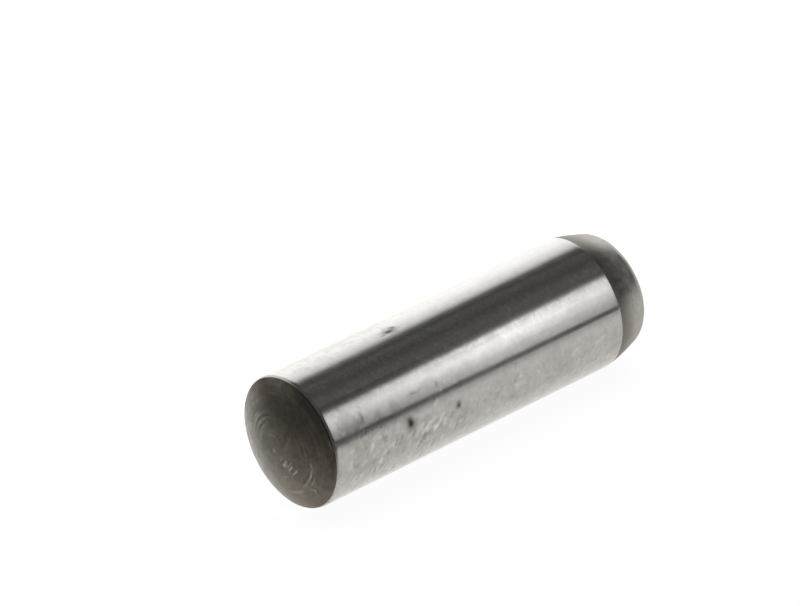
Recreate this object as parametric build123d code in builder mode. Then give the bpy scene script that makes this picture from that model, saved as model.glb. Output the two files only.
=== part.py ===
from build123d import *
import math
import os

# Plain dowel pin, one turned and ground steel piece. Sizes are in millimetres.
# The pin lies along X: the crowned end points to -X, the tapered lead end to +X.
# The origin is on the axis, halfway between the tips of the two crowns.

# Driving dimensions
pin_diameter = 5.0
pin_length = 16.0
crown_radius = 5.0
lead_length = 1.95
lead_angle = 15.0
crown_edge_radius = 0.16
lead_rim_radius = 0.50

# Places along the axis
pin_radius = pin_diameter / 2
crown_tip = (-pin_length / 2, 0)
lead_tip = (pin_length / 2, 0)
crown_height = crown_radius - math.sqrt(crown_radius**2 - pin_radius**2)
crown_edge = (crown_tip[0] + crown_height, pin_radius)
lead_start = (lead_tip[0] - lead_length, pin_radius)
lead_crown_centre = (lead_tip[0] - crown_radius, 0)
lead_slope = (1, -math.tan(math.radians(lead_angle)))


def nearest_corner(sketch, point):
    """The corner of a sketch that lies nearest to a point."""
    return sketch.vertices().sort_by_distance(point)[0]


# The half section is drawn above the axis and turned once round it.
# The lead is a straight cone that runs down from the shank until it meets its own crown.
with BuildPart() as dowel_pin:
    with BuildSketch(Plane.XZ) as half_section:
        with BuildLine():
            crown_guide = CenterArc(lead_crown_centre, crown_radius, 0, 90, mode=Mode.PRIVATE)
            RadiusArc(crown_tip, crown_edge, crown_radius)
            shank = Line(crown_edge, lead_start)
            lead = IntersectingLine(shank @ 1, lead_slope, crown_guide)
            RadiusArc(lead @ 1, lead_tip, crown_radius)
            Line(lead_tip, crown_tip)
        make_face()

        # The crowned end has a narrow broken edge, and the lead rolls over into its crown
        # with a wider radius. Between shank and lead the edge stays sharp, as ground.
        fillet(nearest_corner(half_section, crown_edge), crown_edge_radius)
        fillet(nearest_corner(half_section, lead @ 1), lead_rim_radius)
    revolve(axis=Axis.X)

dowel_pin.part.label = "dowel_pin"

os.makedirs("parts", exist_ok=True)
export_step(dowel_pin.part, "parts/dowel_pin.step")
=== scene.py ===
"""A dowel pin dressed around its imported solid: ground steel shank, dark turned ends, white studio.

The pin lies along X. Its crowned end points to -X and its tapered lead end to +X.
Lengths are in metres, and sizes given in millimetres are multiplied by MM.
"""

import logging
import math
import random
from collections.abc import Iterator
from dataclasses import dataclass
from enum import Enum

import bmesh
import bpy
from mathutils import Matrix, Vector, noise


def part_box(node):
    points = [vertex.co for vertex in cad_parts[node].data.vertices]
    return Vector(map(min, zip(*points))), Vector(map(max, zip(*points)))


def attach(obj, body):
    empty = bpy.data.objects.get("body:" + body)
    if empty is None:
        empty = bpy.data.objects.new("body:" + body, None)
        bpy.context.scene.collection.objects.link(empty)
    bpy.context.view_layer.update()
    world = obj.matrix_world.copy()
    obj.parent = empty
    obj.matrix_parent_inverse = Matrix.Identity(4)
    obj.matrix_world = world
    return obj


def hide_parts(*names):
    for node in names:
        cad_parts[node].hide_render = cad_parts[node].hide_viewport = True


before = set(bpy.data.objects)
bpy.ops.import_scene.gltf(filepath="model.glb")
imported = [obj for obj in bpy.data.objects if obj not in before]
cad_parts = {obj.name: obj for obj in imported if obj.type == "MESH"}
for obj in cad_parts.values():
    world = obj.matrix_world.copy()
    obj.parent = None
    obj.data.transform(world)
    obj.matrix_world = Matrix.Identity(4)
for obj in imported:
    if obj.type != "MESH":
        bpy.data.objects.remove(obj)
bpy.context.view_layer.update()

MM = 0.001
AXIS = Vector((1, 0, 0))
WHOLE = (0.0, 1.0)
# Most of a noise pattern's values lie between these two.
MIDDLE_NOISE = (0.3, 0.7)
# A tool mark that is fainter than this at a place is left out there.
FAINT_ARC = 0.02

Colour = tuple[float, float, float, float]
Vertex = bmesh.types.BMVert
Socket = bpy.types.NodeSocket

log = logging.getLogger("dowel_pin")


class Zone(Enum):
    """The three finishes of the pin, in the order of its material slots."""

    SHANK = 0
    CROWN = 1
    LEAD = 2


class Trace(Enum):
    """Names of the point attributes that carry wear, painted highlights and painted shade from the
    mesh to the finishes.
    """

    # Pits and dirt, and painted shade on the crown's grooves and the broken edge.
    PIT_AND_SHADE = "pit"
    FILM = "film"
    # Polishing and scuffs, and painted highlights, the painted glint and the lead's painted shading.
    POLISH_AND_HIGHLIGHT = "polish"


def smooth_step(low: float, high: float, value: float) -> float:
    """Rise smoothly from 0 at low to 1 at high."""
    share = min(1.0, max(0.0, (value - low) / (high - low)))
    return share * share * (3 - 2 * share)


def bell(distance: float) -> float:
    """A soft bump that is 1 at distance 0 and almost nothing past 2."""
    return math.exp(-distance * distance)


@dataclass(frozen=True)
class PinSizes:
    """Sizes of the pin. The overall ones come from the frame, the others are the turner's."""

    length: float
    radius: float
    crown_radius: float = 5.0 * MM
    crown_edge_radius: float = 0.16 * MM
    lead_length: float = 1.95 * MM
    lead_angle: float = math.radians(14.8)
    lead_rim_radius: float = 0.55 * MM
    lead_corner: float = 0.03 * MM

    @classmethod
    def from_node(cls, node: str) -> "PinSizes":
        """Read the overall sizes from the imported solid.

        Args:
            node: Name of the CAD node.

        Returns:
            The sizes, with the node's own length and radius.
        """
        low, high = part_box(node)
        return cls(length=high.x - low.x, radius=(high.z - low.z) / 2)

    @property
    def crown_tip(self) -> float:
        """Place of the crowned end's tip on the axis."""
        return -self.length / 2

    @property
    def lead_tip(self) -> float:
        """Place of the lead end's tip on the axis."""
        return self.length / 2

    @property
    def lead_start(self) -> float:
        """Place on the axis where the shank ends and the lead begins."""
        return self.lead_tip - self.lead_length


@dataclass(frozen=True)
class Rounding:
    """A round corner of the profile, rolled between two directions about its own centre."""

    centre: Vector
    radius: float
    start_angle: float
    end_angle: float


@dataclass(frozen=True)
class Rings:
    """How many rings of faces each stretch of the profile gets, and how many go round it."""

    crown: int = 98
    crown_edge: int = 8
    shank_near_crown: int = 122
    shank_near_lead: int = 50
    lead: int = 24
    rim: int = 12
    lead_crown: int = 24
    lead_corner: int = 3
    around: int = 288


def turn_between(first: float, second: float) -> float:
    """Give the shorter turn from the second angle to the first, in degrees."""
    return (first - second + 180) % 360 - 180


@dataclass(frozen=True)
class SkinPlace:
    """A place on the pin's skin, in millimetres and degrees.

    reach is how far it lies from the axis, around its angle from the top of the pin towards
    the front, and girth its way round the pin from the top.
    """

    point: Vector
    reach: float
    around: float

    @classmethod
    def of(cls, vertex: Vertex) -> "SkinPlace":
        """Find the place of a vertex.

        Args:
            vertex: The vertex.

        Returns:
            Its place.
        """
        point = vertex.co / MM
        around = math.degrees(math.atan2(-point.y, point.z))
        return cls(point, math.hypot(point.y, point.z), around)

    @property
    def girth(self) -> float:
        """Way round the pin from its top to the place."""
        return math.radians(self.around) * self.reach


@dataclass(frozen=True)
class Spot:
    """A round or oval mark on the shank.

    along and around say where it lies: millimetres from the middle of the pin, and degrees
    from the top of the pin towards its front. length and width are its reach along the pin
    and round it, in millimetres.
    """

    along: float
    around: float
    length: float
    width: float

    def distance(self, place: SkinPlace) -> float:
        """Tell how far off a place lies: 1 is at the end of the spot's reach.

        Args:
            place: The place.

        Returns:
            The distance, in reaches of the spot.
        """
        across = math.radians(turn_between(place.around, self.around)) * place.reach / self.width
        lengthwise = (place.point.x - self.along) / self.length
        return math.hypot(across, lengthwise)


@dataclass(frozen=True)
class Pit(Spot):
    """A small hollow, left by handling or corrosion. stain says how dark it is."""

    depth: float
    stain: float = 1.0


@dataclass(frozen=True)
class Patch(Spot):
    """A soft patch: a dull film, a patch of bright scuffs, or a painted glint."""

    strength: float


def near_spots(spots: tuple, place: SkinPlace, lengths: float) -> Iterator[tuple[Spot, float]]:
    """Find the spots that lie close to a place along the pin.

    Args:
        spots: The spots to choose from.
        place: The place.
        lengths: How many of its own lengths off a spot may lie.

    Yields:
        Each such spot, with the place's distance from it.
    """
    for spot in spots:
        if abs(place.point.x - spot.along) <= lengths * spot.length:
            yield spot, spot.distance(place)


@dataclass(frozen=True)
class ToolMark:
    """An arc that the turning tool left in the crowned end.

    A mark that stands up is a ridge, partly rubbed bright and partly a painted highlight. One
    with a negative height is a groove, partly dark with dirt and partly painted shade. radius,
    height and width are in millimetres, around and spread in degrees.
    """

    radius: float
    around: float
    spread: float
    height: float
    width: float = 0.045
    uneven_scale: float = 6.0
    uneven_range: tuple[float, float] = (-0.45, 0.1)
    least_share: float = 0.45

    def nearness(self, place: SkinPlace) -> float:
        """Tell how strong the mark is at a place: 1 at most, and uneven along the arc.

        Args:
            place: The place.

        Returns:
            The strength.
        """
        arc = bell(turn_between(place.around, self.around) / self.spread)
        if arc < FAINT_ARC:
            return 0.0
        spot = Vector((place.point.y * self.uneven_scale, place.point.z * self.uneven_scale, self.radius))
        shown = smooth_step(*self.uneven_range, noise.noise(spot))
        arc *= self.least_share + (1 - self.least_share) * shown
        return arc * bell((place.reach - self.radius) / self.width)


@dataclass(frozen=True)
class Scratch:
    """A short straight burr, from one place to another, in millimetres.

    In the crowned end a place is its (Y, Z). On the shank it is its X and how far it lies
    round the shank, from the top towards the front. With a negative height it is a cut, dark
    with dirt; in the crowned end a cut is partly painted shade and a burr partly a painted highlight.
    """

    start: tuple[float, float]
    end: tuple[float, float]
    height: float
    width: float = 0.04

    def nearness(self, first: float, second: float) -> float:
        """Tell how close a place is: 1 on the burr, almost 0 past two widths.

        Args:
            first: The place's first coordinate.
            second: Its second one.

        Returns:
            The nearness.
        """
        run = (self.end[0] - self.start[0], self.end[1] - self.start[1])
        off = (first - self.start[0], second - self.start[1])
        share = (off[0] * run[0] + off[1] * run[1]) / (run[0] ** 2 + run[1] ** 2)
        share = min(1.0, max(0.0, share))
        return bell(math.hypot(off[0] - share * run[0], off[1] - share * run[1]) / self.width)


@dataclass(frozen=True)
class ScratchPatch:
    """Short cuts and burrs, scattered over a stretch of the shank.

    along, girth and length are ranges in millimetres, girth being how far a place lies round
    the shank from the top towards the front. Most strokes lean the same way, by lean degrees
    give or take sway. bright_share of them are burrs, and the others are cuts.
    """

    seed: int
    count: int
    along: tuple[float, float]
    girth: tuple[float, float]
    length: tuple[float, float] = (0.05, 0.22)
    lean: float = 130.0
    sway: float = 25.0
    height: tuple[float, float] = (0.003, 0.007)
    width: tuple[float, float] = (0.045, 0.060)
    bright_share: float = 0.45

    def scatter(self) -> list[Scratch]:
        """Draw the strokes, the same ones each time.

        Returns:
            The strokes.
        """
        draw = random.Random(self.seed)
        strokes = []
        for _ in range(self.count):
            start = (draw.uniform(*self.along), draw.uniform(*self.girth))
            angle = math.radians(self.lean + draw.uniform(-self.sway, self.sway))
            length = draw.uniform(*self.length)
            end = (start[0] + length * math.cos(angle), start[1] + length * math.sin(angle))
            height = draw.uniform(*self.height)
            if draw.random() > self.bright_share:
                height = -height
            strokes.append(Scratch(start, end, height, draw.uniform(*self.width)))
        return strokes


@dataclass(frozen=True)
class StrokeRow:
    """A row of strokes in the crowned end, each one step further than the last.

    They are nearly parallel: each start and end strays a little, and each stroke has its own
    share of the full run.
    """

    seed: int
    first: tuple[float, float]
    step: tuple[float, float]
    run: tuple[float, float]
    count: int
    height: float
    width: float = 0.032
    stray: float = 0.045
    run_share: tuple[float, float] = (0.45, 1.0)

    def strokes(self) -> list[Scratch]:
        """Lay out the strokes of the row, the same ones each time.

        Returns:
            The strokes.
        """
        draw = random.Random(self.seed)
        strokes = []
        for index in range(self.count):
            start = self.strayed(draw, self.first, self.step, index)
            end = self.strayed(draw, start, self.run, draw.uniform(*self.run_share))
            strokes.append(Scratch(start, end, self.height, self.width))
        return strokes

    def strayed(
        self,
        draw: random.Random,
        place: tuple[float, float],
        move: tuple[float, float],
        times: float,
    ) -> tuple[float, float]:
        """Move a place, and then a little off at random.

        Args:
            draw: The source of chance.
            place: Where to start.
            move: The move.
            times: How many times the move is made.

        Returns:
            The new place.
        """
        return (
            place[0] + times * move[0] + draw.uniform(-self.stray, self.stray),
            place[1] + times * move[1] + draw.uniform(-self.stray, self.stray),
        )


PITS = (
    Pit(-3.91, 79.0, 0.22, 0.25, 0.006, 0.92),
    Pit(-3.97, 74.6, 0.15, 0.19, 0.002, 0.45),
    Pit(-1.71, 82.8, 0.16, 0.20, 0.006, 0.90),
    Pit(-5.13, 80.5, 0.14, 0.16, 0.003, 0.28),
    Pit(-2.70, 87.6, 0.16, 0.12, 0.003, 0.28),
    Pit(-2.95, 88.8, 0.09, 0.06, 0.003, 0.3),
    Pit(-3.14, 95.5, 0.20, 0.09, 0.003, 0.22),
    Pit(-4.36, 86.9, 0.08, 0.14, 0.003, 0.22),
    Pit(-6.02, 80.4, 0.06, 0.10, 0.004, 0.4),
    Pit(-3.18, 122.0, 0.12, 0.05, 0.004, 0.5),
    Pit(0.05, 89.1, 0.09, 0.10, 0.003, 0.2),
    Pit(2.60, 99.6, 0.07, 0.05, 0.004, 0.5),
    Pit(3.33, 94.1, 0.06, 0.07, 0.004, 0.5),
    Pit(4.10, 95.0, 0.06, 0.05, 0.004, 0.4),
    Pit(4.80, 104.9, 0.08, 0.06, 0.004, 0.4),
    Pit(-3.52, 56.2, 0.14, 0.03, 0.003, 0.3),
    Pit(-5.87, 56.0, 0.10, 0.20, 0.003, 0.35),
    Pit(-2.66, -3.4, 0.24, 0.09, 0.008, 1.1),
    Pit(-2.38, -6.0, 0.12, 0.07, 0.005, 0.8),
    Pit(-2.98, -1.6, 0.12, 0.05, 0.004, 0.6),
)

FILMS = (
    Patch(-6.60, 55.0, 0.45, 0.50, 0.50),
    Patch(-5.90, 55.5, 0.14, 0.35, 0.55),
    Patch(-6.40, 61.0, 1.00, 0.30, 0.22),
    Patch(-5.00, 68.0, 1.10, 0.35, 0.24),
    Patch(-5.20, 59.0, 0.16, 0.22, 0.40),
    Patch(-3.57, 56.5, 0.32, 0.12, 0.40),
    Patch(-4.40, 60.0, 0.30, 0.22, 0.30),
    Patch(-2.70, 55.0, 0.35, 0.20, 0.20),
    Patch(-5.80, 97.0, 0.50, 0.25, 0.20),
    Patch(-5.95, 79.5, 0.20, 0.34, 0.30),
    Patch(-6.33, 81.0, 0.16, 0.20, 0.25),
    Patch(-4.00, 80.5, 0.34, 0.40, 0.42),
    Patch(-2.90, 97.0, 0.50, 0.22, 0.22),
    Patch(-1.48, 101.0, 0.20, 0.35, 0.20),
    Patch(0.85, 100.0, 0.18, 0.18, 0.25),
    Patch(-4.30, 90.0, 0.35, 0.30, 0.22),
    Patch(-3.30, 92.0, 0.50, 0.45, 0.28),
    Patch(-2.60, 97.0, 0.40, 0.30, 0.20),
    Patch(-1.40, 92.0, 0.45, 0.40, 0.14),
    Patch(1.20, 100.0, 0.60, 0.40, 0.16),
    Patch(3.20, 97.0, 0.50, 0.50, 0.16),
    Patch(-2.66, -3.6, 0.45, 0.22, 0.75),
    Patch(-4.60, -38.0, 2.80, 1.20, 0.38),
)

# Bright scuffs on the shank, and one painted glint.
SCUFFS_AND_GLINT = (
    Patch(4.85, 87.4, 0.16, 0.05, 0.45),
    Patch(5.10, 85.4, 0.18, 0.05, 0.35),
    Patch(5.02, 90.0, 0.14, 0.05, 0.25),
    Patch(5.25, 92.0, 0.16, 0.05, 0.20),
    Patch(2.04, 87.9, 0.05, 0.05, 0.60),
    # Painted glint: a bright spot painted at the corner of the shank and the lead.
    Patch(5.97, 43.1, 0.05, 0.07, 0.90),
    Patch(0.60, 96.0, 0.10, 0.04, 0.25),
    Patch(-1.55, 85.5, 0.06, 0.06, 0.35),
)

SCRATCH_PATCHES = (
    ScratchPatch(seed=4, count=30, along=(-6.9, -4.9), girth=(2.5, 4.8)),
    ScratchPatch(seed=9, count=14, along=(-4.6, -2.9), girth=(3.3, 4.5)),
    ScratchPatch(
        seed=2,
        count=9,
        along=(-3.4, -2.3),
        girth=(3.4, 3.9),
        length=(0.2, 0.35),
        bright_share=0.8,
    ),
    ScratchPatch(seed=7, count=16, along=(-2.8, -1.4), girth=(2.5, 4.7)),
    ScratchPatch(seed=5, count=14, along=(-0.7, 1.8), girth=(3.5, 4.7), length=(0.03, 0.10)),
)

# Turning marks in the crowned end: real relief, coloured partly as a painted highlight on each ridge and
# painted shade in each groove.
TOOL_MARKS = (
    ToolMark(1.85, -52, 11, 0.0040, 0.060),
    ToolMark(1.56, -59, 14, -0.0040, 0.045),
    ToolMark(1.47, -60, 9, 0.0045, 0.040),
    ToolMark(1.37, -60, 18, 0.0060, 0.040),
    ToolMark(1.25, -52, 25, -0.0080, 0.040),
    ToolMark(1.16, -55, 22, 0.0080, 0.035),
    ToolMark(1.05, -52, 21, -0.0060, 0.035),
    ToolMark(0.95, -58, 20, 0.0040, 0.035),
    ToolMark(0.88, -82, 16, 0.0030, 0.035),
    ToolMark(1.46, 92, 4, -0.0080, 0.040),
    ToolMark(1.55, 90, 4, 0.0100, 0.040),
    ToolMark(1.59, 112, 17, 0.0100, 0.040),
    ToolMark(1.50, 116, 12, -0.0090, 0.045),
    ToolMark(1.66, 112, 10, -0.0080, 0.035),
    ToolMark(1.73, 114, 8, 0.0060, 0.035),
    ToolMark(1.36, 66, 12, 0.0030, 0.040),
    ToolMark(1.28, 68, 12, -0.0040, 0.045),
    ToolMark(1.05, 118, 10, 0.0030, 0.040),
    ToolMark(1.90, 60, 22, 0.0020, 0.060),
    ToolMark(2.08, 30, 30, 0.0020, 0.060),
    ToolMark(2.10, 95, 16, -0.0030, 0.060),
    ToolMark(1.72, 150, 12, 0.0030, 0.060),
    ToolMark(2.00, 132, 14, -0.0030, 0.050),
    ToolMark(2.42, 92, 20, 0.0030, 0.030),
)

STROKE_ROWS = (
    StrokeRow(seed=3, first=(-0.33, -0.14), step=(-0.11, -0.04), run=(0.17, -0.29), count=5, height=0.007),
    # This dark row lies just beside the first bright row, as its painted shaded side.
    StrokeRow(seed=6, first=(-0.40, -0.13), step=(-0.12, -0.05), run=(0.16, -0.27), count=4, height=-0.0065),
    StrokeRow(seed=8, first=(-0.50, -0.40), step=(-0.22, -0.05), run=(0.23, -0.27), count=3, height=0.007),
)

CROWN_SCRATCHES = (
    Scratch((0.1, -0.05), (0.1, -0.1), 0.0060, 0.045),
    Scratch((-0.3, -1.05), (-0.5, -0.95), 0.0040, 0.035),
    Scratch((-0.45, -1.7), (-1.0, -1.35), 0.0015, 0.045),
    Scratch((-1.45, -1.1), (-1.6, -1.1), 0.0050, 0.030),
    Scratch((-1.6, -1.1), (-1.6, -1.2), 0.0050, 0.030),
    Scratch((-2.1, 1.1), (-2.3, 0.8), 0.0060),
    Scratch((0.45, 0.4), (0.1, 0.5), 0.0030, 0.035),
    Scratch((-0.45, 0.25), (-0.65, 0.75), 0.0020, 0.040),
)


@dataclass(frozen=True)
class Pattern:
    """Soft noise over the steel.

    scale is in repeats per millimetre along X, Y and Z. lean turns the pattern about Y
    before it is scaled, in degrees.
    """

    scale: tuple[float, float, float]
    detail: float = 2.0
    roughness: float = 0.5
    lean: float = 0.0


@dataclass(frozen=True)
class Speckle:
    """Small separate specks of uneven size and strength, one at most in each cell.

    scale and lean are as in a pattern, and shift moves the cells, in millimetres. size is a
    speck's reach and core its full part, both as shares of their cell. share says how many
    cells hold a speck, and strong how many of those are at full strength. drift bends the
    cells out of line.
    """

    scale: tuple[float, float, float]
    size: float
    share: float
    lean: float = 0.0
    shift: tuple[float, float, float] = (0.0, 0.0, 0.0)
    core: float = 0.15
    strong: float = 0.4
    drift: float = 0.9
    drift_scale: float = 1.7


@dataclass(frozen=True)
class Ramp:
    """A smooth change from one range of values to another, level beyond both ends."""

    given: tuple[float, float]
    made: tuple[float, float] = WHOLE


class NodeBench:
    """A small workbench for building one material's or one world's node tree."""

    def __init__(self, tree: bpy.types.NodeTree) -> None:
        """Take a node tree and clear it."""
        self.tree = tree
        tree.nodes.clear()

    @classmethod
    def for_material(cls, name: str) -> tuple[bpy.types.Material, "NodeBench"]:
        """Start a material and give it with its bench.

        Args:
            name: Name of the material.

        Returns:
            The material and its bench.
        """
        material = bpy.data.materials.new(name)
        material.use_nodes = True
        return material, cls(material.node_tree)

    def add(self, kind: str, **settings: object) -> bpy.types.Node:
        """Add a node.

        Args:
            kind: The node's type, such as ShaderNodeMath.
            settings: Properties to set on the node.

        Returns:
            The new node.
        """
        node = self.tree.nodes.new(kind)
        for name, value in settings.items():
            setattr(node, name, value)
        return node

    def feed(self, node: bpy.types.Node, socket: object, source: object) -> None:
        """Set an input from a number, a tuple or another node's output.

        Args:
            node: The node that takes the value.
            socket: Name or index of its input.
            source: The value, or the output socket to link from.
        """
        if isinstance(source, Socket):
            self.tree.links.new(source, node.inputs[socket])
        else:
            node.inputs[socket].default_value = source

    def math(self, operation: str, *sources: object, clamp: bool = False) -> Socket:
        """Work out a sum of one to three values and return its output.

        Args:
            operation: Blender's name for the sum.
            sources: Its values.
            clamp: Whether the result is kept from 0 to 1.

        Returns:
            The result.
        """
        node = self.add("ShaderNodeMath", operation=operation, use_clamp=clamp)
        for index, source in enumerate(sources):
            self.feed(node, index, source)
        return node.outputs[0]

    def position(
        self,
        scale: tuple[float, float, float],
        lean: float = 0.0,
        shift: tuple[float, float, float] = (0.0, 0.0, 0.0),
    ) -> Socket:
        """Give the object coordinates, in repeats per millimetre along X, Y and Z.

        Args:
            scale: Repeats per millimetre.
            lean: Turn of the pattern about Y before it is scaled, in degrees.
            shift: Move of the pattern, in millimetres.

        Returns:
            The coordinates.
        """
        place = self.add("ShaderNodeTexCoord")
        leaning = self.add("ShaderNodeMapping")
        self.feed(leaning, "Vector", place.outputs["Object"])
        self.feed(leaning, "Rotation", (0, math.radians(lean), 0))
        self.feed(leaning, "Location", tuple(part * MM for part in shift))
        scaled = self.add("ShaderNodeMapping")
        self.feed(scaled, "Vector", leaning.outputs["Vector"])
        self.feed(scaled, "Scale", tuple(repeats / MM for repeats in scale))
        return scaled.outputs["Vector"]

    def place(self) -> tuple[Socket, ...]:
        """Give X, Y and Z of the object coordinates, in millimetres."""
        split = self.add("ShaderNodeSeparateXYZ")
        self.feed(split, "Vector", self.position((1.0, 1.0, 1.0)))
        return tuple(split.outputs)

    def noise(self, vector: Socket, detail: float, roughness: float) -> Socket:
        """Sample soft noise, from 0 to 1, at a vector.

        Args:
            vector: Where to sample.
            detail: How many finer layers it has.
            roughness: How strong the finer layers are.

        Returns:
            The noise.
        """
        node = self.add("ShaderNodeTexNoise")
        self.feed(node, "Vector", vector)
        self.feed(node, "Scale", 1.0)
        self.feed(node, "Detail", detail)
        self.feed(node, "Roughness", roughness)
        return node.outputs["Fac"]

    def pattern(self, pattern: Pattern) -> Socket:
        """Sample a pattern, from 0 to 1."""
        return self.noise(self.position(pattern.scale, pattern.lean), pattern.detail, pattern.roughness)

    def ramp(self, source: object, ramp: Ramp) -> Socket:
        """Take a value along a ramp.

        Args:
            source: The value.
            ramp: The ramp.

        Returns:
            The result.
        """
        node = self.add("ShaderNodeMapRange", interpolation_type="SMOOTHSTEP")
        self.feed(node, "Value", source)
        self.feed(node, "From Min", ramp.given[0])
        self.feed(node, "From Max", ramp.given[1])
        self.feed(node, "To Min", ramp.made[0])
        self.feed(node, "To Max", ramp.made[1])
        return node.outputs["Result"]

    def blend(self, share: object, first: object, second: object) -> Socket:
        """Blend two colours by a share from 0 to 1.

        Args:
            share: Share of the second colour.
            first: The first colour.
            second: The second one.

        Returns:
            The blend.
        """
        node = self.add("ShaderNodeMix", data_type="RGBA")
        self.feed(node, 0, share)
        self.feed(node, 6, first)
        self.feed(node, 7, second)
        return node.outputs[2]

    def mix(self, share: object, first: bpy.types.Node, second: bpy.types.Node) -> bpy.types.Node:
        """Mix two shaders by a share from 0 to 1.

        Args:
            share: Share of the second shader.
            first: The first shader.
            second: The second one.

        Returns:
            The mix.
        """
        node = self.add("ShaderNodeMixShader")
        self.feed(node, 0, share)
        self.feed(node, 1, first.outputs[0])
        self.feed(node, 2, second.outputs[0])
        return node

    def trace(self, trace: Trace) -> Socket:
        """Read one of the mesh's wear attributes."""
        return self.add("ShaderNodeAttribute", attribute_name=trace.value).outputs["Fac"]

    def specks(self, speckle: Speckle) -> Socket:
        """Scatter specks and give their strength at a place, from 0 to 1.

        Args:
            speckle: The kind of specks.

        Returns:
            The strength.
        """
        place = self.position(speckle.scale, speckle.lean, speckle.shift)
        drift = self.add("ShaderNodeTexNoise")
        self.feed(drift, "Vector", place)
        self.feed(drift, "Scale", speckle.drift_scale)
        bent = self.add("ShaderNodeVectorMath", operation="MULTIPLY_ADD")
        self.feed(bent, 0, drift.outputs["Color"])
        self.feed(bent, 1, (speckle.drift,) * 3)
        self.feed(bent, 2, place)
        cells = self.add("ShaderNodeTexVoronoi")
        self.feed(cells, "Vector", bent.outputs["Vector"])
        self.feed(cells, "Scale", 1.0)
        dot = self.ramp(cells.outputs["Distance"], Ramp((speckle.size, speckle.size * speckle.core)))
        luck = self.add("ShaderNodeSeparateColor")
        self.feed(luck, "Color", cells.outputs["Color"])
        strong = speckle.share * speckle.strong
        kept = self.ramp(luck.outputs["Red"], Ramp((1 - speckle.share, 1 - strong)))
        return self.math("MULTIPLY", dot, kept)

    def emboss(self, shader: bpy.types.Node, relief: object, strength: float, depth: float) -> None:
        """Give a shader a fine relief.

        Args:
            shader: The shader.
            relief: Height of the relief, in depths.
            strength: How much of it shows, from 0 to 1.
            depth: One depth, in metres.
        """
        bump = self.add("ShaderNodeBump")
        self.feed(bump, "Strength", strength)
        self.feed(bump, "Distance", depth)
        self.feed(bump, "Height", relief)
        self.feed(shader, "Normal", bump.outputs["Normal"])

    def surface(self, shader: bpy.types.Node, kind: str = "ShaderNodeOutputMaterial") -> None:
        """Make a shader the tree's surface."""
        self.feed(self.add(kind), "Surface", shader.outputs[0])


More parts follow.
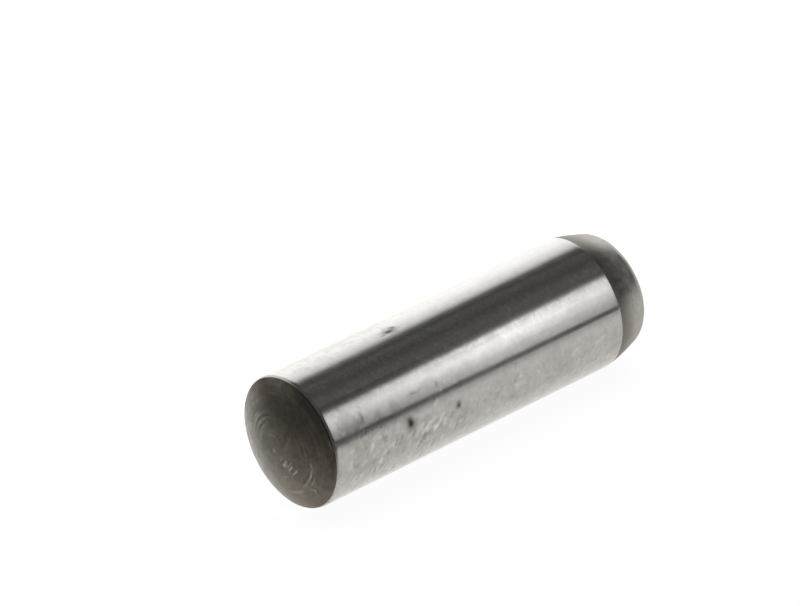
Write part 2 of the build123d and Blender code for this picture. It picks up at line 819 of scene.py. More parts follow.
@dataclass(frozen=True)
class GroundSteel:
    """Bright ground steel: fine marks run round the shank, with mottling, specks and pits, a
    painted glint by the lead and painted shade on the top of the crowned end's broken edge.

    Patterns and speckles say how the steel varies, and ramps where and how much it shows.
    """

    name: str = "ground_steel_shank"
    colour: Colour = (0.635, 0.628, 0.618, 1)
    dull: Colour = (0.56, 0.55, 0.535, 1)
    worn: Colour = (0.48, 0.45, 0.42, 1)
    # Colour of bare metal, and of the painted glint.
    bare_and_glint: Colour = (0.84, 0.83, 0.81, 1)
    film: Colour = (0.40, 0.385, 0.36, 1)
    # Colour of stains, pits and dirt, and of the painted shade on the top of the broken edge.
    stain: Colour = (0.06, 0.055, 0.048, 1)
    anisotropy: float = 0.55
    cross_grain: float = 0.25

    near_crown: Ramp = Ramp((3.0, -4.5), (0.30, 1.0))
    below_top: Ramp = Ramp((1.5, 0.2), (0.18, 1.0))
    lower_side: Ramp = Ramp((0.9, 0.1), (0.30, 1.0))
    near_top: Ramp = Ramp((1.65, 2.0))
    front_of_top: Ramp = Ramp((-0.2, -0.8))
    top_dulling: float = 1.8
    top_clouding: float = 0.7

    wear_patches: Pattern = Pattern((0.8, 0.8, 0.8))
    ring_marks: Pattern = Pattern((22.0, 0.9, 0.9), detail=3.0, roughness=0.7)
    grain: Pattern = Pattern((5.0, 3.0, 3.0), roughness=0.6, lean=-24.0)
    streaks: Pattern = Pattern((0.16, 5.5, 5.5), roughness=0.6)
    mottling: Pattern = Pattern((1.7, 1.9, 1.9), detail=4.0, roughness=0.62)
    clouds: Pattern = Pattern((2.4, 2.2, 2.2), roughness=0.6)
    dust: Pattern = Pattern((6.5, 5.5, 5.5), detail=1.0)
    clumps: Pattern = Pattern((1.6, 1.6, 1.6))
    dents: Speckle = Speckle((3.9, 2.5, 2.5), 0.54, 0.40, lean=-24.0)
    burrs: Speckle = Speckle((3.9, 2.5, 2.5), 0.50, 0.40, lean=-24.0, shift=(0.08, 0, 0.03))
    grit: Speckle = Speckle((5.5, 4.5, 4.5), 0.34, 0.25)

    patchy: Ramp = Ramp((0.38, 0.58), (0.15, 1.0))
    clumpy: Ramp = Ramp((0.38, 0.54), (0.2, 1.0))
    mottled: Ramp = Ramp((0.35, 0.65))
    clouded: Ramp = Ramp((0.42, 0.62), (0.0, 0.65))
    brushed: Ramp = Ramp((0.42, 0.66), (0.0, 0.5))
    dusted: Ramp = Ramp((0.35, 0.65), (0.0, 0.45))
    darkened: Ramp = Ramp((0.48, 0.66), (0.0, 0.65))
    rubbed: Ramp = Ramp((0.45, 0.32), (0.0, 0.4))
    burr_shine: float = 0.55
    dent_soil: float = 0.42
    grit_soil: float = 0.45

    roughness: Ramp = Ramp(MIDDLE_NOISE, (0.13, 0.18))
    streak_roughness: Ramp = Ramp(MIDDLE_NOISE, (-0.02, 0.02))
    film_roughness: float = 0.10
    pit_roughness: float = 0.25
    mark_relief: float = 0.35
    grain_relief: float = 0.35
    relief_strength: float = 0.3
    relief_depth: float = 0.006 * MM

    def make(self) -> bpy.types.Material:
        """Build the material and return it."""
        material, bench = NodeBench.for_material(self.name)
        shader = bench.add("ShaderNodeBsdfPrincipled")
        bench.feed(shader, "Metallic", 1.0)
        bench.feed(shader, "Anisotropic", self.anisotropy)
        bench.feed(shader, "Anisotropic Rotation", self.cross_grain)
        tangent = bench.add("ShaderNodeTangent", direction_type="RADIAL", axis="X")
        bench.feed(shader, "Tangent", tangent.outputs["Tangent"])

        x, y, z = bench.place()
        patches = bench.ramp(bench.pattern(self.wear_patches), self.patchy)
        worn = bench.math("MULTIPLY", bench.ramp(z, self.below_top), patches)
        worn = bench.math("MULTIPLY", bench.ramp(x, self.near_crown), worn)
        high = bench.math("MULTIPLY", bench.ramp(z, self.near_top), bench.ramp(y, self.front_of_top))
        high_dull = bench.math("MULTIPLY", high, self.top_dulling)
        calm = bench.math("MAXIMUM", bench.ramp(z, self.lower_side), high_dull)
        cloudy = bench.math("MULTIPLY_ADD", high, self.top_clouding, worn)
        grain = bench.pattern(self.grain)
        streaks = bench.pattern(self.streaks)
        mottling = bench.pattern(self.mottling)

        tone = self.colour
        for pattern, ramp, where, colour in (
            (mottling, self.mottled, calm, self.dull),
            (bench.pattern(self.clouds), self.clouded, cloudy, self.worn),
            (streaks, self.brushed, high, self.worn),
            (bench.pattern(self.dust), self.dusted, calm, self.worn),
            (grain, self.darkened, worn, self.worn),
            (grain, self.rubbed, worn, self.bare_and_glint),
        ):
            share = bench.math("MULTIPLY", bench.ramp(pattern, ramp), where)
            tone = bench.blend(share, tone, colour)

        clumps = bench.ramp(bench.pattern(self.clumps), self.clumpy)
        clumps = bench.math("MULTIPLY", clumps, worn)
        dents = bench.math("MULTIPLY", bench.specks(self.dents), clumps)
        burrs = bench.math("MULTIPLY", bench.specks(self.burrs), clumps)
        grit = bench.math("MULTIPLY", bench.specks(self.grit), worn)
        # Pits and dirt, and the painted shade on the broken edge.
        pits_and_shade = bench.math("MAXIMUM", bench.trace(Trace.PIT_AND_SHADE), 0.0, clamp=True)
        for share, colour in (
            (bench.trace(Trace.FILM), self.film),
            (bench.math("MULTIPLY", burrs, self.burr_shine), self.bare_and_glint),
            (bench.math("MULTIPLY", dents, self.dent_soil), self.stain),
            # Scuffs and burrs, and the painted glint.
            (bench.trace(Trace.POLISH_AND_HIGHLIGHT), self.bare_and_glint),
            (bench.math("MULTIPLY", grit, self.grit_soil), self.stain),
            (pits_and_shade, self.stain),
        ):
            tone = bench.blend(share, tone, colour)
        bench.feed(shader, "Base Color", tone)

        rough = bench.ramp(mottling, self.roughness)
        rough = bench.math("ADD", rough, bench.ramp(streaks, self.streak_roughness))
        rough = bench.math("MULTIPLY_ADD", bench.trace(Trace.FILM), self.film_roughness, rough)
        rough = bench.math("MULTIPLY_ADD", pits_and_shade, self.pit_roughness, rough, clamp=True)
        bench.feed(shader, "Roughness", rough)

        sunk = bench.math("MULTIPLY", bench.math("ADD", dents, grit), -1.0)
        relief = bench.math("MULTIPLY_ADD", bench.pattern(self.ring_marks), self.mark_relief, sunk)
        grain_relief = bench.math("MULTIPLY", worn, self.grain_relief)
        relief = bench.math("MULTIPLY_ADD", grain, grain_relief, relief)
        bench.emboss(shader, relief, self.relief_strength, self.relief_depth)
        bench.surface(shader)
        return material


@dataclass(frozen=True)
class DarkTurnedSteel:
    """Dark matt steel of the ends: turning marks run round the axis, with brown blotches. Its
    bright and dark marks are partly painted highlight and painted shade.

    edge_tint darkens the steel where it is seen at a glancing angle, and mark_scale is for
    the way along the profile, and for Y and Z.
    """

    name: str = "dark_turned_crown"
    colour: Colour = (0.125, 0.116, 0.102, 1)
    brown: Colour = (0.150, 0.129, 0.102, 1)
    # Colour of rubbed steel, and of painted highlights on the crown's marks and along the lead.
    polished_and_highlight: Colour = (0.42, 0.40, 0.37, 1)
    # Colour of dirt, and of painted shade in the crown's grooves and on the broken edge.
    soot_and_shade: Colour = (0.030, 0.028, 0.024, 1)
    lower_brown: Colour = (0.118, 0.092, 0.066, 1)
    lower_brown_share: float = 1.0
    dark_share: float = 0.7
    roughness: Ramp = Ramp(MIDDLE_NOISE, (0.22, 0.31))
    edge_tint: Colour = (1.0, 1.0, 1.0, 1)

    mark_scale: tuple[float, float] = (9.0, 0.6)
    mark_detail: float = 3.0
    mark_roughness: float = 0.65
    blotches: Pattern = Pattern((1.5, 1.5, 1.5), detail=4.0, roughness=0.6)
    smears: Pattern = Pattern((3.2, 3.2, 3.2), detail=3.0, roughness=0.6)
    scuffs: Speckle = Speckle((5.0, 5.0, 5.0), 0.35, 0.35)
    browned: Ramp = Ramp((0.35, 0.65))
    smeared: Ramp = Ramp((0.42, 0.62), (0.0, 0.6))
    browner_below: Ramp = Ramp((-0.9, -2.2), (0.0, 0.75))
    uneven_polish: Ramp = Ramp((0.35, 0.65), (0.8, 1.1))
    scuff_shine: float = 0.06
    smear_relief: float = 1.5
    relief_strength: float = 0.5
    relief_depth: float = 0.0028 * MM

    def turning_marks(self, bench: NodeBench) -> Socket:
        """Sample the marks that the tool left in rings, from 0 to 1.

        Args:
            bench: The finish's bench.

        Returns:
            The marks.
        """
        x, y, z = bench.place()
        spread = bench.add("ShaderNodeCombineXYZ")
        bench.feed(spread, "Y", y)
        bench.feed(spread, "Z", z)
        reach = bench.add("ShaderNodeVectorMath", operation="LENGTH")
        bench.feed(reach, "Vector", spread.outputs["Vector"])
        run = bench.math("ADD", reach.outputs["Value"], x)
        turned = bench.add("ShaderNodeCombineXYZ")
        bench.feed(turned, "X", bench.math("MULTIPLY", run, self.mark_scale[0]))
        bench.feed(turned, "Y", bench.math("MULTIPLY", y, self.mark_scale[1]))
        bench.feed(turned, "Z", bench.math("MULTIPLY", z, self.mark_scale[1]))
        return bench.noise(turned.outputs["Vector"], self.mark_detail, self.mark_roughness)

    def make(self) -> bpy.types.Material:
        """Build the material and return it."""
        material, bench = NodeBench.for_material(self.name)
        shader = bench.add("ShaderNodeBsdfPrincipled")
        bench.feed(shader, "Metallic", 1.0)
        bench.feed(shader, "Specular Tint", self.edge_tint)
        smears = bench.pattern(self.smears)

        polish = bench.ramp(smears, self.uneven_polish)
        polish = bench.math("MULTIPLY", bench.trace(Trace.POLISH_AND_HIGHLIGHT), polish)
        scuffs = bench.specks(self.scuffs)
        polish = bench.math("MULTIPLY_ADD", scuffs, self.scuff_shine, polish, clamp=True)
        foot = bench.ramp(bench.place()[2], self.browner_below)
        tone = self.colour
        for share, colour in (
            (bench.ramp(bench.pattern(self.blotches), self.browned), self.brown),
            (bench.ramp(smears, self.smeared), self.darker()),
            # Browner towards the bottom of the end.
            (bench.math("MULTIPLY", foot, self.lower_brown_share), self.lower_brown),
            # Rubbed steel, and painted highlight and shading.
            (polish, self.polished_and_highlight),
            # Dirt, and painted shade.
            (bench.math("MAXIMUM", bench.trace(Trace.PIT_AND_SHADE), 0.0, clamp=True), self.soot_and_shade),
        ):
            tone = bench.blend(share, tone, colour)
        bench.feed(shader, "Base Color", tone)
        bench.feed(shader, "Roughness", bench.ramp(smears, self.roughness))

        marks = self.turning_marks(bench)
        relief = bench.math("MULTIPLY_ADD", smears, self.smear_relief, marks)
        bench.emboss(shader, relief, self.relief_strength, self.relief_depth)
        bench.surface(shader)
        return material

    def darker(self) -> Colour:
        """Give the dark steel's colour where it is smeared."""
        red, green, blue, alpha = self.colour
        return (self.dark_share * red, self.dark_share * green, self.dark_share * blue, alpha)


@dataclass(frozen=True)
class BrightSide:
    """A side of the lead that is made brighter. around and spread are in degrees."""

    around: float
    spread: float
    strength: float


@dataclass
class WearAndPaintedLight:
    """The pin's wear and painted light and shade, pressed into its mesh and noted on its vertices
    for the finishes.

    Depths are in millimetres. The shine and darkening gains say how bright or dark a mark shows
    for each millimetre of its height; in the crowned end they give partly painted highlight and
    painted shade.
    """

    shape: bmesh.types.BMesh
    sizes: PinSizes
    edge: Rounding
    plain_ends: float = 0.2 * MM
    wave_depth: float = 0.0022
    wave_scale: tuple[float, float] = (1.3, 1.1)
    pit_fall: float = 1.3
    pit_lengths: float = 3.0
    patch_lengths: float = 2.0
    patch_edge: tuple[float, float] = (1.3, 0.5)
    patch_noise: tuple[tuple[float, float], ...] = ((3.0, 0.8), (7.0, 0.5))
    stroke_reach: float = 0.7
    stroke_relief: float = 0.4
    stroke_shine: float = 110.0
    stroke_soil: float = 44.0
    # Painted highlight and painted shade of the crown's marks, for each millimetre of height.
    crown_shade: float = 75.0
    # Painted shade on the broken edge of the crowned end, round the top of the pin.
    edge_shade: float = 0.35
    shade_start: float = 0.07 * MM
    shade_end: float = 0.1 * MM
    shade_middle: float = 10.0
    shade_sweep: tuple[float, float] = (100.0, 55.0)
    ring_depth: float = 0.0014
    ring_scale: tuple[float, float] = (9.0, 0.6)
    smear_depth: float = 0.0035
    smear_scale: tuple[float, float] = (3.5, 1.6)
    smooth_middle: tuple[float, float] = (0.05, 0.3)
    # Lead brightness: partly wear, partly painted shade near the shank and painted highlight towards the
    # rim.
    lead_shine: float = 0.22
    lead_sides: tuple[BrightSide, ...] = (BrightSide(-42, 34, 0.30), BrightSide(125, 30, 0.22))
    full_shine: float = 1.08
    full_shine_from_tip: float = 0.7 * MM
    rim_from_tip: tuple[float, float] = (0.5 * MM, 0.25 * MM)
    lead_crown_shine: float = 0.07
    lead_bulge: float = 0.030
    bulge_peak: float = 2.6

    def __post_init__(self) -> None:
        """Add the wear attributes and lay out the strokes."""
        layers = self.shape.verts.layers.float
        self.layers = {trace: layers.new(trace.value) for trace in Trace}
        self.shank_strokes = [stroke for patch in SCRATCH_PATCHES for stroke in patch.scatter()]
        self.crown_strokes = [stroke for row in STROKE_ROWS for stroke in row.strokes()]
        self.crown_strokes.extend(CROWN_SCRATCHES)

    def press(self) -> None:
        """Mark every vertex of the pin with its wear and its painted light and shade."""
        for vertex in self.shape.verts:
            place = SkinPlace.of(vertex)
            sink = 0.0
            if self.edge.centre.x < vertex.co.x < self.sizes.lead_start:
                sink = self.wear_and_glint_shank(vertex, place)
            self.shade_edge(vertex, place)
            if vertex.co.x <= self.edge.centre.x:
                sink = self.mark_and_shade_crown(vertex, place)
            if vertex.co.x > self.sizes.lead_start:
                sink = self.wear_and_shade_lead(vertex, place)
            vertex.co -= vertex.normal * sink * MM

    def note(self, vertex: Vertex, trace: Trace, amount: float) -> None:
        """Add an amount of wear to a vertex."""
        vertex[self.layers[trace]] += amount

    def note_rise(self, vertex: Vertex, rise: float, shine: float, darkening: float) -> None:
        """Brighten a raised mark, or darken a sunken one: on the shank as bare metal and dirt, in
        the crowned end partly as painted highlight and painted shade.

        Args:
            vertex: The vertex.
            rise: Height of the mark there.
            shine: Brightness for each millimetre.
            darkening: Darkness for each millimetre.
        """
        if rise > 0:
            self.note(vertex, Trace.POLISH_AND_HIGHLIGHT, shine * rise)
        else:
            self.note(vertex, Trace.PIT_AND_SHADE, -darkening * rise)

    def wear_and_glint_shank(self, vertex: Vertex, place: SkinPlace) -> float:
        """Mark a vertex of the shank with its wear and the painted glint, and tell how deep it sinks.

        Args:
            vertex: The vertex.
            place: Its place.

        Returns:
            The depth.
        """
        start = self.edge.centre.x
        end = self.sizes.lead_start
        keep = smooth_step(start, start + self.plain_ends, vertex.co.x)
        keep *= 1 - smooth_step(end - self.plain_ends, end, vertex.co.x)
        sink = keep * self.waviness(place.point)
        for pit, distance in near_spots(PITS, place, self.pit_lengths):
            strength = bell(distance * self.pit_fall)
            sink += pit.depth * strength
            self.note(vertex, Trace.PIT_AND_SHADE, pit.stain * strength)
        for film, distance in near_spots(FILMS, place, self.patch_lengths):
            uneven = sum(share * noise.noise(place.point * scale) for scale, share in self.patch_noise)
            spread = smooth_step(*self.patch_edge, distance + uneven)
            self.note(vertex, Trace.FILM, film.strength * spread)
        # Bright scuffs, and the painted glint.
        for bright_spot, distance in near_spots(SCUFFS_AND_GLINT, place, self.patch_lengths):
            self.note(vertex, Trace.POLISH_AND_HIGHLIGHT, bright_spot.strength * bell(distance))
        girth = place.girth
        for stroke in self.shank_strokes:
            if abs(place.point.x - stroke.start[0]) > self.stroke_reach:
                continue
            rise = stroke.height * stroke.nearness(place.point.x, girth)
            sink -= self.stroke_relief * rise
            self.note_rise(vertex, rise, self.stroke_shine, self.stroke_soil)
        return sink

    def waviness(self, point: Vector) -> float:
        """Give the depth of the shank's gentle unevenness at a point.

        Args:
            point: The point.

        Returns:
            The depth.
        """
        along, across = self.wave_scale
        spot = Vector((point.x * along, point.y * across, point.z * across))
        return self.wave_depth * noise.noise(spot)

    def shade_edge(self, vertex: Vertex, place: SkinPlace) -> None:
        """Paint shade on the broken edge of the crowned end, round the top of the pin.

        Args:
            vertex: The vertex.
            place: Its place.
        """
        start = self.edge.centre.x
        if not start - self.edge.radius < vertex.co.x < start + self.shade_end:
            return
        # Painted shade, strongest at the top of the edge.
        darkening = 1 - smooth_step(start - self.shade_start, start, vertex.co.x)
        darkening *= smooth_step(*self.shade_sweep, abs(place.around - self.shade_middle))
        self.note(vertex, Trace.PIT_AND_SHADE, self.edge_shade * darkening)

    def mark_and_shade_crown(self, vertex: Vertex, place: SkinPlace) -> float:
        """Mark a vertex of the crowned end with its tool marks and tell how deep it sinks; their
        colour is partly wear and partly painted highlight and painted shade.

        Args:
            vertex: The vertex.
            place: Its place.

        Returns:
            The depth.
        """
        rises = [mark.height * mark.nearness(place) for mark in TOOL_MARKS]
        for stroke in self.crown_strokes:
            rises.append(stroke.height * stroke.nearness(place.point.y, place.point.z))
        # Each ridge gets a painted highlight and each groove painted shade, besides their relief.
        for rise in rises:
            self.note_rise(vertex, rise, self.crown_shade, self.crown_shade)
        return self.turning_relief(place) - sum(rises)

    def turning_relief(self, place: SkinPlace) -> float:
        """Give the depth of the crown's uneven turning rings and smears at a place.

        Args:
            place: The place.

        Returns:
            The depth.
        """
        rings, smears = (
            noise.noise(Vector((place.reach * outwards, place.point.y * across, place.point.z * across)))
            for outwards, across in (self.ring_scale, self.smear_scale)
        )
        fade = smooth_step(*self.smooth_middle, place.reach)
        return fade * (self.ring_depth * rings + self.smear_depth * smears)

    def wear_and_shade_lead(self, vertex: Vertex, place: SkinPlace) -> float:
        """Brighten a vertex of the lead towards its rim, partly as wear and partly as painted light
        and shade, and tell how deep it sinks.

        The lead is slightly round, so it stands up most near its middle.

        Args:
            vertex: The vertex.
            place: Its place.

        Returns:
            The depth.
        """
        start = self.sizes.lead_start
        tip = self.sizes.lead_tip
        # Partly wear and partly painted light and shade: darker near the shank, brighter towards the rim and
        # on two sides.
        rubbed = self.lead_shine
        for side in self.lead_sides:
            rubbed += side.strength * bell((place.around - side.around) / side.spread)
        worn = smooth_step(start, tip - self.full_shine_from_tip, vertex.co.x)
        rim_start, rim_end = (tip - part for part in self.rim_from_tip)
        past_rim = smooth_step(rim_start, rim_end, vertex.co.x)
        brightening = rubbed + (self.full_shine - rubbed) * worn
        vertex[self.layers[Trace.POLISH_AND_HIGHLIGHT]] = brightening * (1 - (1 - self.lead_crown_shine) * past_rim)
        along = (vertex.co.x - start) / (rim_end - start)
        if along >= 1:
            return 0.0
        swing = math.pi / 2 * along
        return -self.bulge_peak * self.lead_bulge * math.sin(swing) * math.cos(swing) ** 2


def make_object(name: str, shape: bmesh.types.BMesh) -> bpy.types.Object:
    """Turn a finished bmesh into an object of the scene and return it.

    Args:
        name: Name of the object.
        shape: The bmesh, which is freed.

    Returns:
        The object.
    """
    mesh = bpy.data.meshes.new(name)
    shape.to_mesh(mesh)
    shape.free()
    made = bpy.data.objects.new(name, mesh)
    bpy.context.scene.collection.objects.link(made)
    return made


@dataclass
class DowelPin:
    """The whole pin, one turned piece: crowned end, ground shank and tapered lead end."""

    sizes: PinSizes
    rings: Rings = Rings()
    ground: GroundSteel = GroundSteel()
    turned: DarkTurnedSteel = DarkTurnedSteel()
    # Finish of the lead; its brightening towards the rim is partly painted light and shade.
    lead_steel: DarkTurnedSteel = DarkTurnedSteel(
        name="dark_lead_steel",
        polished_and_highlight=(0.58, 0.56, 0.53, 1),
        lower_brown_share=0.0,
        roughness=Ramp(MIDDLE_NOISE, (0.31, 0.40)),
        edge_tint=(0.62, 0.61, 0.60, 1),
    )
    name: str = "ground_pin"
    crown_overlap: float = 0.03 * MM
    weld_reach: float = 0.0001 * MM

    def build(self) -> bpy.types.Object:
        """Model the pin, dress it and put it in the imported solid's place.

        Returns:
            The finished piece.
        """
        shape = bmesh.new()
        self.draw_profile(shape)
        self.turn(shape)
        self.assign_zones(shape)
        WearAndPaintedLight(shape, self.sizes, self.edge_rounding()).press()
        piece = make_object(self.name, shape)
        piece.data.shade_smooth()
        self.dress(piece)
        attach(piece, "root")
        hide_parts("dowel_pin")
        log.info("%s: %d faces", piece.name, len(piece.data.polygons))
        return piece

    def crown_rounding(self) -> Rounding:
        """Find the ball arc of the crowned end, from its tip to its broken edge."""
        s = self.sizes
        centre = Vector((s.crown_tip + s.crown_radius, 0, 0))
        reach = s.radius - s.crown_edge_radius
        lean = math.asin(reach / (s.crown_radius - s.crown_edge_radius))
        return Rounding(centre, s.crown_radius, 0, lean)

    def edge_rounding(self) -> Rounding:
        """Find the broken edge, which is tangent to the crown and to the shank."""
        s = self.sizes
        crown = self.crown_rounding()
        slack = s.crown_radius - s.crown_edge_radius
        outwards = Vector((-math.cos(crown.end_angle), 0, math.sin(crown.end_angle)))
        centre = crown.centre + slack * outwards
        return Rounding(centre, s.crown_edge_radius, crown.end_angle, math.pi / 2)

    def rim_rounding(self) -> Rounding:
        """Find the rim where the lead rolls over into its own crown, tangent to both."""
        s = self.sizes
        slack = s.crown_radius - s.lead_rim_radius
        crown_centre = Vector((s.lead_tip - s.crown_radius, 0, 0))
        facing = Vector((math.sin(s.lead_angle), 0, math.cos(s.lead_angle)))
        start = Vector((s.lead_start, 0, s.radius))
        height = (start - crown_centre).dot(facing) - s.lead_rim_radius
        lean = math.asin(height / slack)
        swing = lean - s.lead_angle
        centre = crown_centre + slack * Vector((math.cos(swing), 0, math.sin(swing)))
        return Rounding(centre, s.lead_rim_radius, math.pi / 2 - s.lead_angle, swing)

    @staticmethod
    def last_vertex(made: dict) -> list[Vertex]:
        """Pick the end vertex of a stretch that spin has just made."""
        return [item for item in made["geom_last"] if isinstance(item, Vertex)]

    def roll(self, shape: bmesh.types.BMesh, end: list, rounding: Rounding, steps: int) -> list:
        """Roll the profile's end vertex round a corner, in steps.

        Args:
            shape: The mesh that holds the profile.
            end: The profile's last vertex, in a list.
            rounding: The corner to roll round.
            steps: How many edges the corner gets.

        Returns:
            The new last vertex, in a list.
        """
        turn = rounding.end_angle - rounding.start_angle
        made = bmesh.ops.spin(
            shape, geom=end, cent=rounding.centre, axis=(0, 1, 0), angle=turn, steps=steps
        )
        return self.last_vertex(made)

    def run(self, shape: bmesh.types.BMesh, end: list, target: Vector, steps: int) -> list:
        """Draw the profile straight on to a point, in steps.

        Args:
            shape: The mesh that holds the profile.
            end: The profile's last vertex, in a list.
            target: Where the stretch ends.
            steps: How many edges the stretch gets.

        Returns:
            The new last vertex, in a list.
        """
        step = (target - end[0].co) / steps
        made = bmesh.ops.spin(
            shape, geom=end, cent=(0, 0, 0), axis=(0, 1, 0), dvec=step, angle=0, steps=steps
        )
        return self.last_vertex(made)

    def draw_profile(self, shape: bmesh.types.BMesh) -> None:
        """Draw the half section of the pin in the XZ plane, from tip to tip.

        Args:
            shape: An empty bmesh.
        """
        s = self.sizes
        rings = self.rings
        edge = self.edge_rounding()
        rim = self.rim_rounding()
        end = [shape.verts.new((s.crown_tip, 0, 0))]
        end = self.roll(shape, end, self.crown_rounding(), rings.crown)
        end = self.roll(shape, end, edge, rings.crown_edge)
        end = self.run(shape, end, Vector((0, 0, s.radius)), rings.shank_near_crown)
        end = self.run(shape, end, Vector((s.lead_start, 0, s.radius)), rings.shank_near_lead)
        corner = end[0]
        facing = Vector((math.sin(s.lead_angle), 0, math.cos(s.lead_angle)))
        end = self.run(shape, end, rim.centre + rim.radius * facing, rings.lead)
        turn = Rounding(rim.centre, rim.radius, 0, math.pi / 2 - s.lead_angle - rim.end_angle)
        end = self.roll(shape, end, turn, rings.rim)
        crown_centre = Vector((s.lead_tip - s.crown_radius, 0, 0))
        crown = Rounding(crown_centre, s.crown_radius, 0, rim.end_angle)
        self.roll(shape, end, crown, rings.lead_crown)
        bmesh.ops.bevel(
            shape,
            geom=[corner],
            offset=s.lead_corner,
            segments=rings.lead_corner,
            profile=0.5,
            affect="VERTICES",
            material=-1,
        )

    def turn(self, shape: bmesh.types.BMesh) -> None:
        """Turn the half section once round the axis and close its poles.

        Args:
            shape: The bmesh that holds the half section.
        """
        bmesh.ops.spin(
            shape,
            geom=shape.verts[:] + shape.edges[:],
            cent=(0, 0, 0),
            axis=AXIS,
            angle=2 * math.pi,
            steps=self.rings.around,
            use_merge=True,
        )
        bmesh.ops.remove_doubles(shape, verts=shape.verts, dist=self.weld_reach)
        bmesh.ops.recalc_face_normals(shape, faces=shape.faces)

    def assign_zones(self, shape: bmesh.types.BMesh) -> None:
        """Give the shank, with most of its broken edge, and the two ends their own finishes.

        Args:
            shape: The turned bmesh.
        """
        s = self.sizes
        crown = self.crown_rounding()
        crown_end = crown.centre.x - crown.radius * math.cos(crown.end_angle)
        shank_start = crown_end + self.crown_overlap
        for face in shape.faces:
            middle = face.calc_center_median().x
            zone = Zone.SHANK
            if middle < shank_start:
                zone = Zone.CROWN
            elif middle > s.lead_start:
                zone = Zone.LEAD
            face.material_index = zone.value

    def dress(self, piece: bpy.types.Object) -> None:
        """Give the piece its three finishes, in the order of the zones."""
        finishes = {Zone.SHANK: self.ground, Zone.CROWN: self.turned, Zone.LEAD: self.lead_steel}
        for zone in Zone:
            piece.data.materials.append(finishes[zone].make())


@dataclass(frozen=True)
class Floor:
    """A white table top that the pin lies on. The camera sees it white; reflections see painted
    light on it.

    The ramps say how bright the reflections see it, as painted light, over stretches of Y or X
    in millimetres: brighter behind the pin, dimmer in front of it and far to its left.
    """

    height: float
    half_width: float = 1.2
    albedo: float = 0.8
    white_share: float = 0.92
    white: float = 1.03
    front_to_back: Ramp = Ramp((-3.6, -0.6), (0.73, 1.05))
    behind: Ramp = Ramp((1.0, 6.0), (0.0, 0.40))
    behind_left: Ramp = Ramp((-9.0, -3.0), (0.2, 1.0))
    far_front: Ramp = Ramp((-45.0, -7.0), (0.72, 1.0))
    tint: Colour = (1.0, 0.987, 0.955, 1)
    camera_tint: Colour = (1.0, 1.0, 1.0, 1)
    left_reach: float = 8.2
    left_falloff: float = -1.5
    left_glow: float = 0.20

    def build(self) -> bpy.types.Object:
        """Make the table top and return it."""
        shape = bmesh.new()
        bmesh.ops.create_grid(shape, x_segments=1, y_segments=1, size=self.half_width)
        bmesh.ops.translate(shape, verts=shape.verts, vec=(0, 0, self.height))
        table = make_object("table_top", shape)
        table.data.materials.append(self.finish())
        return table

    def painted_light_level(self, bench: NodeBench) -> Socket:
        """Work out the painted light that the reflections see on a place of the table.

        Args:
            bench: The finish's bench.

        Returns:
            The brightness.
        """
        x, y, _ = bench.place()
        behind = bench.math("MULTIPLY", bench.ramp(y, self.behind), bench.ramp(x, self.behind_left))
        level = bench.math("ADD", bench.ramp(y, self.front_to_back), behind)
        level = bench.math("MULTIPLY", level, bench.ramp(y, self.far_front))
        reach = bench.math("MAXIMUM", bench.math("MULTIPLY", x, -1 / self.left_reach), 1.0)
        left = bench.math("MAXIMUM", bench.math("POWER", reach, self.left_falloff), self.left_glow)
        return bench.math("MULTIPLY", level, left)

    def finish(self) -> bpy.types.Material:
        """Make the white finish, which lets the camera look through it from below."""
        material, bench = NodeBench.for_material("white_table")
        diffuse = bench.add("ShaderNodeBsdfDiffuse")
        bench.feed(diffuse, "Color", (self.albedo, self.albedo, self.albedo, 1))
        path = bench.add("ShaderNodeLightPath")
        camera = path.outputs["Is Camera Ray"]
        glow = bench.add("ShaderNodeEmission")
        # Reflections see the painted light; the camera sees the table evenly white.
        seen = bench.math("MAXIMUM", self.painted_light_level(bench), bench.math("MULTIPLY", camera, self.white))
        bench.feed(glow, "Color", bench.blend(camera, self.tint, self.camera_tint))
        bench.feed(glow, "Strength", seen)
        shown = bench.math("MAXIMUM", camera, path.outputs["Is Glossy Ray"])
        shown = bench.math("MAXIMUM", shown, path.outputs["Is Transmission Ray"])
        share = bench.math("MULTIPLY", shown, self.white_share)
        top = bench.mix(share, diffuse, glow)
        below = bench.add("ShaderNodeNewGeometry").outputs["Backfacing"]
        clear = bench.add("ShaderNodeBsdfTransparent")
        bench.surface(bench.mix(below, top, clear))
        return material


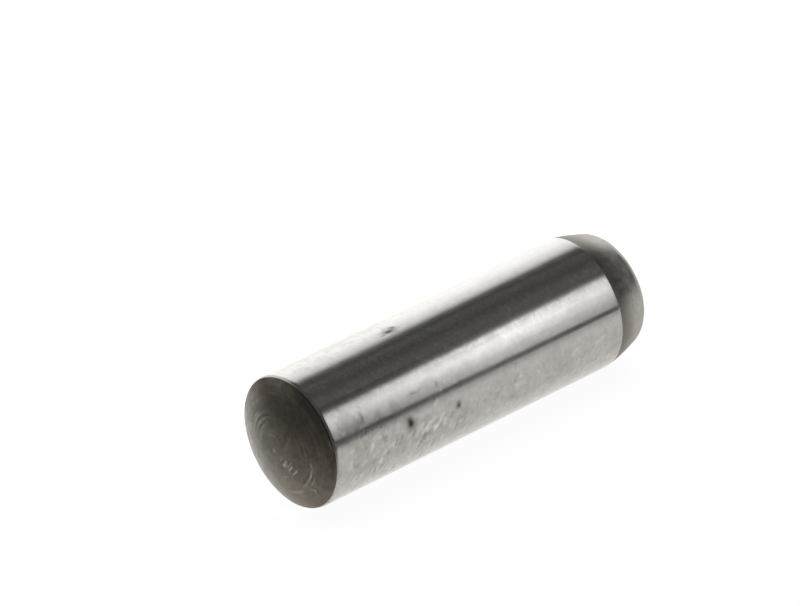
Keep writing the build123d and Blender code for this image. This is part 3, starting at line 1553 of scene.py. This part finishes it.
@dataclass(frozen=True)
class LightPanel:
    """A long glowing panel beside the pin, curved round the pin's own axis.

    glow lists how bright the panel is at angles in degrees about X: 0 is level behind the pin,
    90 straight above it and 180 level in front. taper says by how many degrees the panel's
    first and last edges swing for each millimetre along X, from the place middle. Along X the
    glow fades from the middle over the stretch fade, until only the share left is kept and the
    level dim is added.
    """

    name: str
    distance: float
    start: float
    end: float
    glow: tuple[tuple[float, float], ...]
    middle: float = 0.0
    taper: tuple[float, float] = (0.0, 0.0)
    fade: tuple[float, float] = (1.0, 2.0)
    left: float = 1.0
    dim: float = 0.0
    full_scale: float = 2.0
    segments: int = 64

    def build(self) -> bpy.types.Object:
        """Make the panel and return it."""
        shape = bmesh.new()
        first = math.radians(self.glow[0][0])
        last = math.radians(self.glow[-1][0])
        side = Vector((0, math.cos(first), math.sin(first))) * self.distance
        corner = shape.verts.new(side + AXIS * self.start)
        other = shape.verts.new(side + AXIS * self.end)
        edge = shape.edges.new((corner, other))
        bmesh.ops.spin(
            shape,
            geom=[corner, other, edge],
            cent=(0, 0, 0),
            axis=AXIS,
            angle=last - first,
            steps=self.segments,
        )
        panel = make_object(self.name, shape)
        panel.data.materials.append(self.finish(first, last))
        panel.visible_camera = False
        panel.visible_shadow = False
        return panel

    def finish(self, first: float, last: float) -> bpy.types.Material:
        """Make the glow, which changes with the angle about the pin's axis and along it.

        Args:
            first: Angle of the panel's first edge, in radians.
            last: Angle of its last edge.

        Returns:
            The material.
        """
        material, bench = NodeBench.for_material(self.name)
        x, y, z = bench.place()
        off = bench.math("SUBTRACT", x, self.middle)
        share = bench.add("ShaderNodeMapRange")
        bench.feed(share, "Value", bench.math("ARCTAN2", z, y))
        first_swing, last_swing = (math.radians(swing) for swing in self.taper)
        bench.feed(share, "From Min", bench.math("MULTIPLY_ADD", off, first_swing, first))
        bench.feed(share, "From Max", bench.math("MULTIPLY_ADD", off, last_swing, last))
        ramp = bench.add("ShaderNodeValToRGB")
        bench.feed(ramp, "Fac", share.outputs["Result"])
        stops = ramp.color_ramp.elements
        stops.remove(stops[-1])
        for index, (degrees, level) in enumerate(self.glow):
            where = (math.radians(degrees) - first) / (last - first)
            stop = stops[0] if index == 0 else stops.new(where)
            stop.position = where
            stop.color = (level / self.full_scale,) * 3 + (1,)
        glow = bench.add("ShaderNodeEmission")
        gone = bench.ramp(bench.math("ABSOLUTE", off), Ramp(self.fade))
        kept = bench.math("MULTIPLY_ADD", gone, (self.left - 1) * self.full_scale, self.full_scale)
        level = bench.math("MULTIPLY", ramp.outputs["Color"], kept)
        bench.feed(glow, "Strength", bench.math("MULTIPLY_ADD", gone, self.dim, level))
        bench.surface(glow)
        return material


BACK_TENT = LightPanel(
    name="back_tent",
    distance=0.30,
    start=-0.50,
    end=1.30,
    middle=422.0,
    fade=(577.0, 770.0),
    dim=0.17,
    left=0.1,
    glow=(
        (-1, 1.48),
        (20, 1.42),
        (38, 1.02),
        (44, 0.78),
        (52, 0.13),
        (60, 0.07),
        (70, 0.13),
        (84, 0.09),
        (100, 0.14),
        (112, 0.15),
        (125, 0.06),
        (160, 0.05),
        (170, 0.10),
    ),
)

FRONT_SOFTBOX = LightPanel(
    name="front_softbox",
    distance=0.04,
    start=-0.01,
    end=0.042,
    glow=(
        (110, 0.16),
        (118, 0.29),
        (124.7, 1.80),
        (138, 1.98),
        (150, 1.45),
        (162, 0.95),
        (168.5, 0.78),
        (171, 0.17),
        (176, 0.17),
        (178.5, 0.45),
    ),
    middle=27.0,
    taper=(-0.30, 0.40),
    fade=(-3.0, 9.0),
    left=0.45,
)


@dataclass(frozen=True)
class Room:
    """The dim room round the studio. The camera sees it white."""

    level: float = 0.20

    def build(self) -> None:
        """Make the world."""
        world = bpy.data.worlds.new("dim_room")
        bpy.context.scene.world = world
        world.use_nodes = True
        bench = NodeBench(world.node_tree)
        dim = bench.add("ShaderNodeBackground")
        bench.feed(dim, "Strength", self.level)
        white = bench.add("ShaderNodeBackground")
        path = bench.add("ShaderNodeLightPath")
        mix = bench.mix(path.outputs["Is Camera Ray"], dim, white)
        bench.surface(mix, "ShaderNodeOutputWorld")


@dataclass(frozen=True)
class PhotoCamera:
    """The camera of the photograph: where it stands and where it aims."""

    place: Vector = Vector((-190.549, -211.317, 185.822)) * MM
    aim: Vector = Vector((-0.463, 2.010, 1.852)) * MM
    focal_length: float = 434.96
    sensor_width: float = 36.0
    nearest: float = 0.01
    farthest: float = 10.0

    def build(self) -> bpy.types.Object:
        """Make the camera and make it the scene's own."""
        lens = bpy.data.cameras.new("photo_camera")
        lens.lens = self.focal_length
        lens.sensor_width = self.sensor_width
        lens.clip_start = self.nearest
        lens.clip_end = self.farthest
        camera = bpy.data.objects.new("photo_camera", lens)
        bpy.context.scene.collection.objects.link(camera)
        camera.rotation_mode = "QUATERNION"
        camera.rotation_quaternion = (self.aim - self.place).to_track_quat("-Z", "Y")
        camera.location = self.place
        bpy.context.scene.camera = camera
        return camera


@dataclass(frozen=True)
class CeilingLamp:
    """A wide soft lamp above, which lights the table and leaves no glint on the pin."""

    height: float = 0.6
    width: float = 0.5
    power: float = 3.2

    def build(self) -> bpy.types.Object:
        """Make the lamp and return it."""
        light = bpy.data.lights.new("ceiling_lamp", "AREA")
        light.energy = self.power
        light.size = self.width
        lamp = bpy.data.objects.new("ceiling_lamp", light)
        lamp.location = (0, 0, self.height)
        lamp.visible_glossy = False
        lamp.visible_camera = False
        bpy.context.scene.collection.objects.link(lamp)
        return lamp


def main() -> None:
    """Build the pin and the studio round it."""
    logging.basicConfig(level=logging.INFO, format="%(name)s: %(message)s")
    scene = bpy.context.scene
    scene.view_settings.view_transform = "Standard"
    sizes = PinSizes.from_node("dowel_pin")
    DowelPin(sizes).build()
    Floor(height=-sizes.radius).build()
    BACK_TENT.build()
    FRONT_SOFTBOX.build()
    CeilingLamp().build()
    Room().build()
    PhotoCamera().build()


if __name__ == "__main__":
    main()
